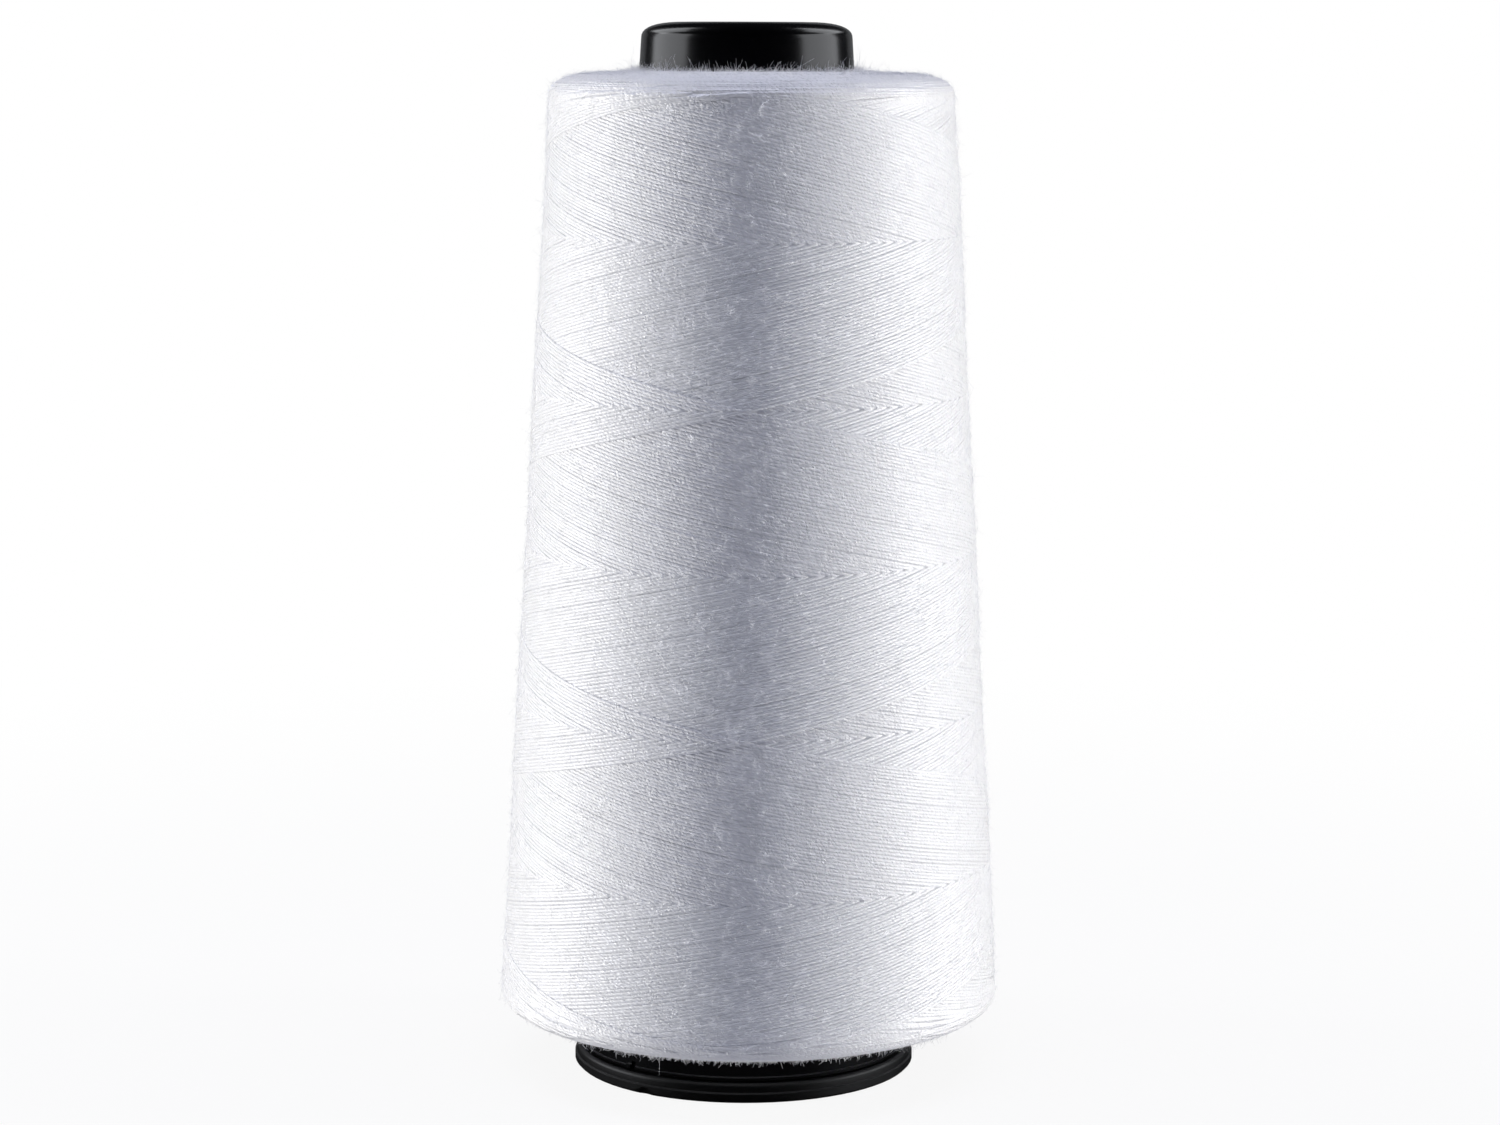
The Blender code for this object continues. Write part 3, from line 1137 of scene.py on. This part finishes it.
@dataclass
class Fuzz:
    """Loose fibres that stand off the thread, dense by the nose and along the lower edge."""

    winding: Winding
    flank_pieces: int = 5
    flank_margins: tuple[float, float] = (3.0 * MM, 0.6 * MM)  # left bare at the foot and the top
    root_depth: float = 0.03 * MM
    crown_depth: float = 0.12 * MM
    nose_ring: tuple[float, float] = (1.2, 0.9)  # gamma law of the way from the core, millimetres
    nose_limit: float = 0.79  # outermost root, as a share of the package's radius
    nose_slope: float = 9.0 * MM  # radial way over which the crown falls by the nose
    nose_depth: float = 0.25 * MM
    foot_ring: tuple[float, float] = (7.0, 11.2)  # millimetres out from the core
    foot_depth: float = 0.2 * MM
    tip_share: float = 0.45  # a fibre's width at its tip
    wander: float = 0.45
    seed: int = 5

    def grow(self, name: str, pile: Pile, root: np.ndarray, outward: np.ndarray,
             heading: np.ndarray, chance: np.random.Generator) -> bpy.types.Object:
        """Grow fibres from their roots.

        Args:
            name: The piece's name.
            pile: How they grow.
            root: Where each fibre starts, before the package settles off centre.
            outward: The surface's normal there.
            heading: The direction along the surface that it leaves in.
            chance: The random numbers.

        Returns:
            The piece.
        """
        length, lift, curl = pile.draw(chance)
        heading = heading - (heading * outward).sum(1, keepdims=True) * outward
        heading /= np.linalg.norm(heading, axis=1, keepdims=True)
        slant = (lift * math.pi / 2)[:, None]
        direction = heading * np.cos(slant) + outward * np.sin(slant)
        spin = chance.normal(0.0, 1.0, root.shape)
        spin /= np.linalg.norm(spin, axis=1, keepdims=True)
        gaps = pile.rings - 1
        points = [self.winding.form.settle_on_core(root)]
        for _ in range(gaps):
            points.append(points[-1] + direction * (length / gaps)[:, None])
            direction = direction + np.cross(spin, direction) * (curl / gaps)[:, None]
            direction /= np.linalg.norm(direction, axis=1, keepdims=True)
            spin = spin + chance.normal(0.0, self.wander, root.shape)
            spin /= np.linalg.norm(spin, axis=1, keepdims=True)
        paths = np.stack(points, axis=1)
        normals = np.repeat(np.cross(heading, outward)[:, None, :], pile.rings, axis=1)
        normals = normals + 0.01 * outward[:, None, :]
        taper = np.linspace(1.0, self.tip_share, pile.rings)[None, :] * pile.radius
        width = np.repeat(taper, pile.count, axis=0)
        return Strands(name, paths, normals, width, width, sides=3).build()

    def on_flank(self, number: int) -> bpy.types.Object:
        """Short fibres all over the flank and the upper shoulder.

        Args:
            number: The piece's number, from 0.

        Returns:
            The piece.
        """
        form, pile = self.winding.form, FLANK_PILE
        chance = np.random.default_rng(self.seed + number)
        low, high = self.flank_margins
        height = chance.uniform(form.low.z + low, form.high.z - high, pile.count)
        angle = chance.uniform(-math.pi, math.pi, pile.count)
        radius = form.radius(height) + self.winding.surface_swell(angle, height) - self.root_depth
        around = on_circle(angle + math.pi / 2, np.ones(pile.count), np.zeros(pile.count))
        turn = chance.normal(math.pi / 2, 0.8, pile.count)
        turn = turn + math.pi * (chance.random(pile.count) < 0.5)
        heading = around * np.cos(turn)[:, None]
        heading[:, 2] += np.sin(turn)
        return self.grow(f"flank_fuzz_{number + 1}", pile, on_circle(angle, radius, height),
                         self.winding.outward(angle, height), heading, chance)

    def on_crown(self) -> bpy.types.Object:
        """The short mat on the upper face and shoulder.

        Returns:
            The piece.
        """
        form, pile = self.winding.form, CROWN_PILE
        chance = np.random.default_rng(self.seed + 40)
        inner, outer = form.core_radius(form.high.z), form.flank(form.high.z)
        radius = np.sqrt(chance.uniform(inner**2, outer**2, pile.count))
        angle = chance.uniform(-math.pi, math.pi, pile.count)
        edge = form.top_shoulder
        past = np.clip((radius - (outer - edge.reach)) / edge.reach, 0.0, 0.999)
        slope = form.crown * (radius - inner) / (outer - inner)
        height = form.high.z - self.crown_depth - slope - edge.fall(past, edge.rise)
        outward = on_circle(angle, past, np.sqrt(1.0 - past**2))
        heading = any_way(pile.count, chance)
        return self.grow("crown_mat", pile, on_circle(angle, radius, height), outward, heading, chance)

    def by_nose(self) -> bpy.types.Object:
        """Longer fibres on the crown where the core's nose comes out.

        Returns:
            The piece.
        """
        form, pile = self.winding.form, NOSE_PILE
        chance = np.random.default_rng(self.seed + 50)
        inner = form.core_radius(form.high.z)
        radius = inner + 0.1 * MM + chance.gamma(*self.nose_ring, pile.count) * MM
        radius = np.minimum(radius, form.high.x * self.nose_limit)
        angle = chance.uniform(-math.pi, math.pi, pile.count)
        height = form.high.z - form.crown * (radius - inner) / self.nose_slope - self.nose_depth
        outward = on_circle(angle, np.zeros(pile.count), np.ones(pile.count))
        heading = any_way(pile.count, chance)
        return self.grow("nose_fuzz", pile, on_circle(angle, radius, height), outward, heading, chance)

    def by_foot(self) -> bpy.types.Object:
        """Curly fibres that hang from the lower face over the core's foot.

        Returns:
            The piece.
        """
        form, pile = self.winding.form, FOOT_PILE
        chance = np.random.default_rng(self.seed + 60)
        radius = form.core_radius(form.low.z) + chance.uniform(*self.foot_ring, pile.count) * MM
        angle = chance.uniform(-math.pi, math.pi, pile.count)
        edge = form.foot_shoulder
        over = np.clip(1.0 - (form.flank(form.low.z) - radius) / edge.reach, 0.0, 1.0)
        height = form.low.z + self.foot_depth + edge.fall(over, edge.rise)
        outward = on_circle(angle, np.zeros(pile.count), np.full(pile.count, -1.0))
        heading = any_way(pile.count, chance)
        return self.grow("foot_fuzz", pile, on_circle(angle, radius, height), outward, heading, chance)

    def build(self) -> list[bpy.types.Object]:
        """Build every fuzz piece.

        Returns:
            The pieces.
        """
        pieces = [self.on_flank(number) for number in range(self.flank_pieces)]
        return pieces + [self.on_crown(), self.by_nose(), self.by_foot()]


# ---------------------------------------------------------------- the plastic


@dataclass
class WindingCone:
    """The two plastic nodes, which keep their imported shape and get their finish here."""

    core_finish: BlackPlastic = BlackPlastic()
    base_finish: BlackPlastic = BlackPlastic(
        colour=(0.0006, 0.0006, 0.0008), dust=(0.016, 0.016, 0.017), roughness=(0.42, 0.52),
        ripple=0.1, dustiness=0.25,
    )
    crease: float = math.radians(32)

    def dress(self, node: str, finish: BlackPlastic) -> None:
        """Weld, smooth and colour one node.

        Args:
            node: The CAD node.
            finish: Its plastic.
        """
        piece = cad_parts[node]
        material = finish.material("black_" + node)
        for slot in piece.material_slots:
            slot.material = material
        weld = piece.modifiers.new("weld", "WELD")
        weld.merge_threshold = 0.000001
        for face in piece.data.polygons:
            face.use_smooth = True
        split = piece.modifiers.new("creases", "EDGE_SPLIT")
        split.split_angle = self.crease
        LOG.info("%s: %d faces, dressed in black plastic", node, len(piece.data.polygons))

    def build(self) -> None:
        """Dress both nodes."""
        self.dress("cone_core", self.core_finish)
        self.dress("snap_base", self.base_finish)


# ---------------------------------------------------------------- the studio


class Reach(Enum):
    """Which pieces a lamp lights."""

    THREAD = "all but the plastic"
    PLASTIC = "the plastic alone"


@dataclass(frozen=True)
class SoftLamp:
    """A soft rectangular lamp that faces the cone.

    Attributes:
        name: The lamp's name.
        azimuth: Its angle from the front towards +X, in degrees.
        rise: Its angle above the level, in degrees.
        height: Height of the point that it is set out from and aims at.
        size: Its width and height.
        power: Its power in watts.
        colour: Its colour.
        reach: Which pieces it lights.
        distance: Its distance from the axis.
    """

    name: str
    azimuth: float
    rise: float
    height: float
    size: tuple[float, float]
    power: float
    colour: tuple[float, float, float]
    reach: Reach
    distance: float = 1.1

    def build(self, plastic: list[bpy.types.Object]) -> None:
        """Place the lamp.

        Args:
            plastic: The plastic pieces.
        """
        data = bpy.data.lights.new(self.name, "AREA")
        data.shape = "RECTANGLE"
        data.size, data.size_y = self.size
        data.energy = self.power
        data.color = self.colour
        lamp = put_in_scene(self.name, data)
        azimuth, rise = math.radians(self.azimuth), math.radians(self.rise)
        level = math.cos(rise)
        away = Vector((math.sin(azimuth) * level, -math.cos(azimuth) * level, math.sin(rise)))
        place = away * self.distance + Vector((0.0, 0.0, self.height))
        turn = away.to_track_quat("Z", "Y").to_matrix().to_4x4()
        lamp.matrix_world = Matrix.Translation(place) @ turn
        lamp.visible_camera = False
        takers = bpy.data.collections.new(self.name + "_takers")
        lamp.light_linking.receiver_collection = takers
        for piece in plastic:
            takers.objects.link(piece)
        state = "INCLUDE" if self.reach is Reach.PLASTIC else "EXCLUDE"
        for linked in takers.collection_objects:
            linked.light_linking.link_state = state


NEUTRAL = (1.0, 0.985, 0.955)
COOL = (0.78, 0.81, 1.0)
PALE = (0.94, 0.96, 1.0)
LAMPS = (
    SoftLamp("right_lamp", 89.5, 0.0, -0.03, (0.29, 1.186), 16.7, NEUTRAL, Reach.THREAD),
    SoftLamp("left_lamp", -93.5, 0.0, -0.03, (0.385, 1.186), 17.4, NEUTRAL, Reach.THREAD),
    SoftLamp("low_fill", 0.0, -38.0, 0.09, (0.76, 0.51), 3.5, COOL, Reach.THREAD),
    SoftLamp("front_fill", 0.0, 25.0, 0.09, (0.76, 0.51), 0.4, COOL, Reach.THREAD),
    SoftLamp("top_fill", 0.0, 90.0, 0.09, (1.27, 0.59), 8.8, COOL, Reach.THREAD),
    SoftLamp("right_card", 88.5, 0.0, 0.4365, (1.097, 0.847), 7.6, PALE, Reach.PLASTIC),
    SoftLamp("left_card", -94.0, 0.0, 0.4365, (1.097, 0.847), 7.6, PALE, Reach.PLASTIC),
    SoftLamp("right_high_card", 128.0, 40.0, 0.16, (0.715, 0.59), 2.9, PALE, Reach.PLASTIC),
    SoftLamp("left_high_card", -128.0, 40.0, 0.16, (0.715, 0.59), 2.9, PALE, Reach.PLASTIC),
    SoftLamp("right_low_card", 82.0, -18.0, 0.0, (0.7, 0.4), 1.0, PALE, Reach.PLASTIC),
    SoftLamp("left_low_card", -88.0, -18.0, 0.0, (0.7, 0.4), 0.5, PALE, Reach.PLASTIC),
    SoftLamp("back_card", 180.0, 8.0, 0.05, (1.8, 0.5), 0.6, PALE, Reach.PLASTIC),
)


@dataclass
class Studio:
    """A pale floor that lets light up through it, a white surround, the lamps and the camera.

    Attributes:
        eye: Where the camera stands.
        tilt_down: How far it looks down.
        roll: How far it leans to one side.
        focal_length: Its lens in millimetres.
        sensor: Its sensor's width in millimetres.
        lamps: The lamps.
        ambient: Colour of the surround's faint light.
        ambient_strength: Strength of that light.
        floor_size: The floor's side.
        floor_colour: Its own colour.
        floor_shade_reach: Where its shade starts to fade and where it ends, from the axis.
        floor_white: How white it is made at those two places.
        floor_bounce: How much light it throws back on the cone.
    """

    eye: tuple[float, float, float] = (0.00079, -0.5954, 0.1678)
    tilt_down: float = math.radians(8.1255)
    roll: float = math.radians(0.1966)
    focal_length: float = 88.54
    sensor: float = 36.0
    lamps: tuple[SoftLamp, ...] = LAMPS
    ambient: tuple[float, float, float] = COOL
    ambient_strength: float = 0.01
    floor_size: float = 30.0
    floor_colour: tuple[float, float, float] = (0.85, 0.85, 0.86)
    floor_shade_reach: tuple[float, float] = (0.03, 0.4)
    floor_white: tuple[float, float] = (0.9, 1.0)
    floor_bounce: float = 0.05

    def camera(self) -> None:
        """Place the camera."""
        data = bpy.data.cameras.new("camera")
        data.lens = self.focal_length
        data.sensor_width = self.sensor
        data.sensor_fit = "HORIZONTAL"
        data.clip_start = 0.01
        camera = put_in_scene("camera", data)
        tilt = Matrix.Rotation(math.pi / 2 - self.tilt_down, 4, "X")
        roll = Matrix.Rotation(self.roll, 4, "Z")
        camera.matrix_world = Matrix.Translation(Vector(self.eye)) @ tilt @ roll
        bpy.context.scene.camera = camera

    def floor(self) -> None:
        """A pale floor that the camera sees as white and that keeps the cone's shadow."""
        shape = bmesh.new()
        bmesh.ops.create_grid(shape, x_segments=1, y_segments=1, size=self.floor_size / 2)
        floor = put_in_scene("floor", as_mesh(shape, "floor"))
        graph = Graph("pale_floor")
        path = graph.node("LightPath")
        to_camera = path.outputs["Is Camera Ray"]
        graph.finish(graph.blend(to_camera, (self.floor_bounce,) * 3, self.floor_colour), 0.9, 0.0)
        away = graph.node("VectorMath", operation="LENGTH")
        graph.feed(away.inputs[0], graph.object_place())
        white = graph.band(away.outputs["Value"], *self.floor_shade_reach, *self.floor_white)
        glow = graph.node("Emission").outputs[0]
        seen = graph.overlay(graph.math("MULTIPLY", to_camera, white), graph.shader.outputs[0], glow)
        clear = graph.node("BsdfTransparent").outputs[0]
        whole = graph.overlay(path.outputs["Is Shadow Ray"], seen, clear)
        graph.feed(graph.nodes["Material Output"].inputs["Surface"], whole)
        floor.data.materials.append(graph.material)

    def surround(self) -> None:
        """A world that lights faintly and shows white to the camera."""
        world = bpy.data.worlds.new("surround")
        bpy.context.scene.world = world
        world.use_nodes = True
        nodes, links = world.node_tree.nodes, world.node_tree.links
        nodes.clear()
        output = nodes.new("ShaderNodeOutputWorld")
        mix = nodes.new("ShaderNodeMixShader")
        links.new(nodes.new("ShaderNodeLightPath").outputs["Is Camera Ray"], mix.inputs[0])
        looks = ((self.ambient, self.ambient_strength), ((1.0, 1.0, 1.0), 1.0))
        for socket, (colour, strength) in zip((mix.inputs[1], mix.inputs[2]), looks):
            background = nodes.new("ShaderNodeBackground")
            background.inputs[0].default_value = (*colour, 1.0)
            background.inputs[1].default_value = strength
            links.new(background.outputs[0], socket)
        links.new(mix.outputs[0], output.inputs[0])

    def build(self) -> None:
        """Set up the studio."""
        self.camera()
        plastic = [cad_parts[name] for name in ("cone_core", "snap_base")]
        for lamp in self.lamps:
            lamp.build(plastic)
        self.floor()
        self.surround()
        bpy.context.scene.view_settings.view_transform = "Standard"
        LOG.info("studio: camera, %d lamps, floor and surround", len(self.lamps))


def main() -> None:
    logging.basicConfig(level=logging.INFO, format="%(name)s: %(message)s")
    Studio().build()
    WindingCone().build()
    WoundThread().build()


if __name__ == "__main__":
    main()
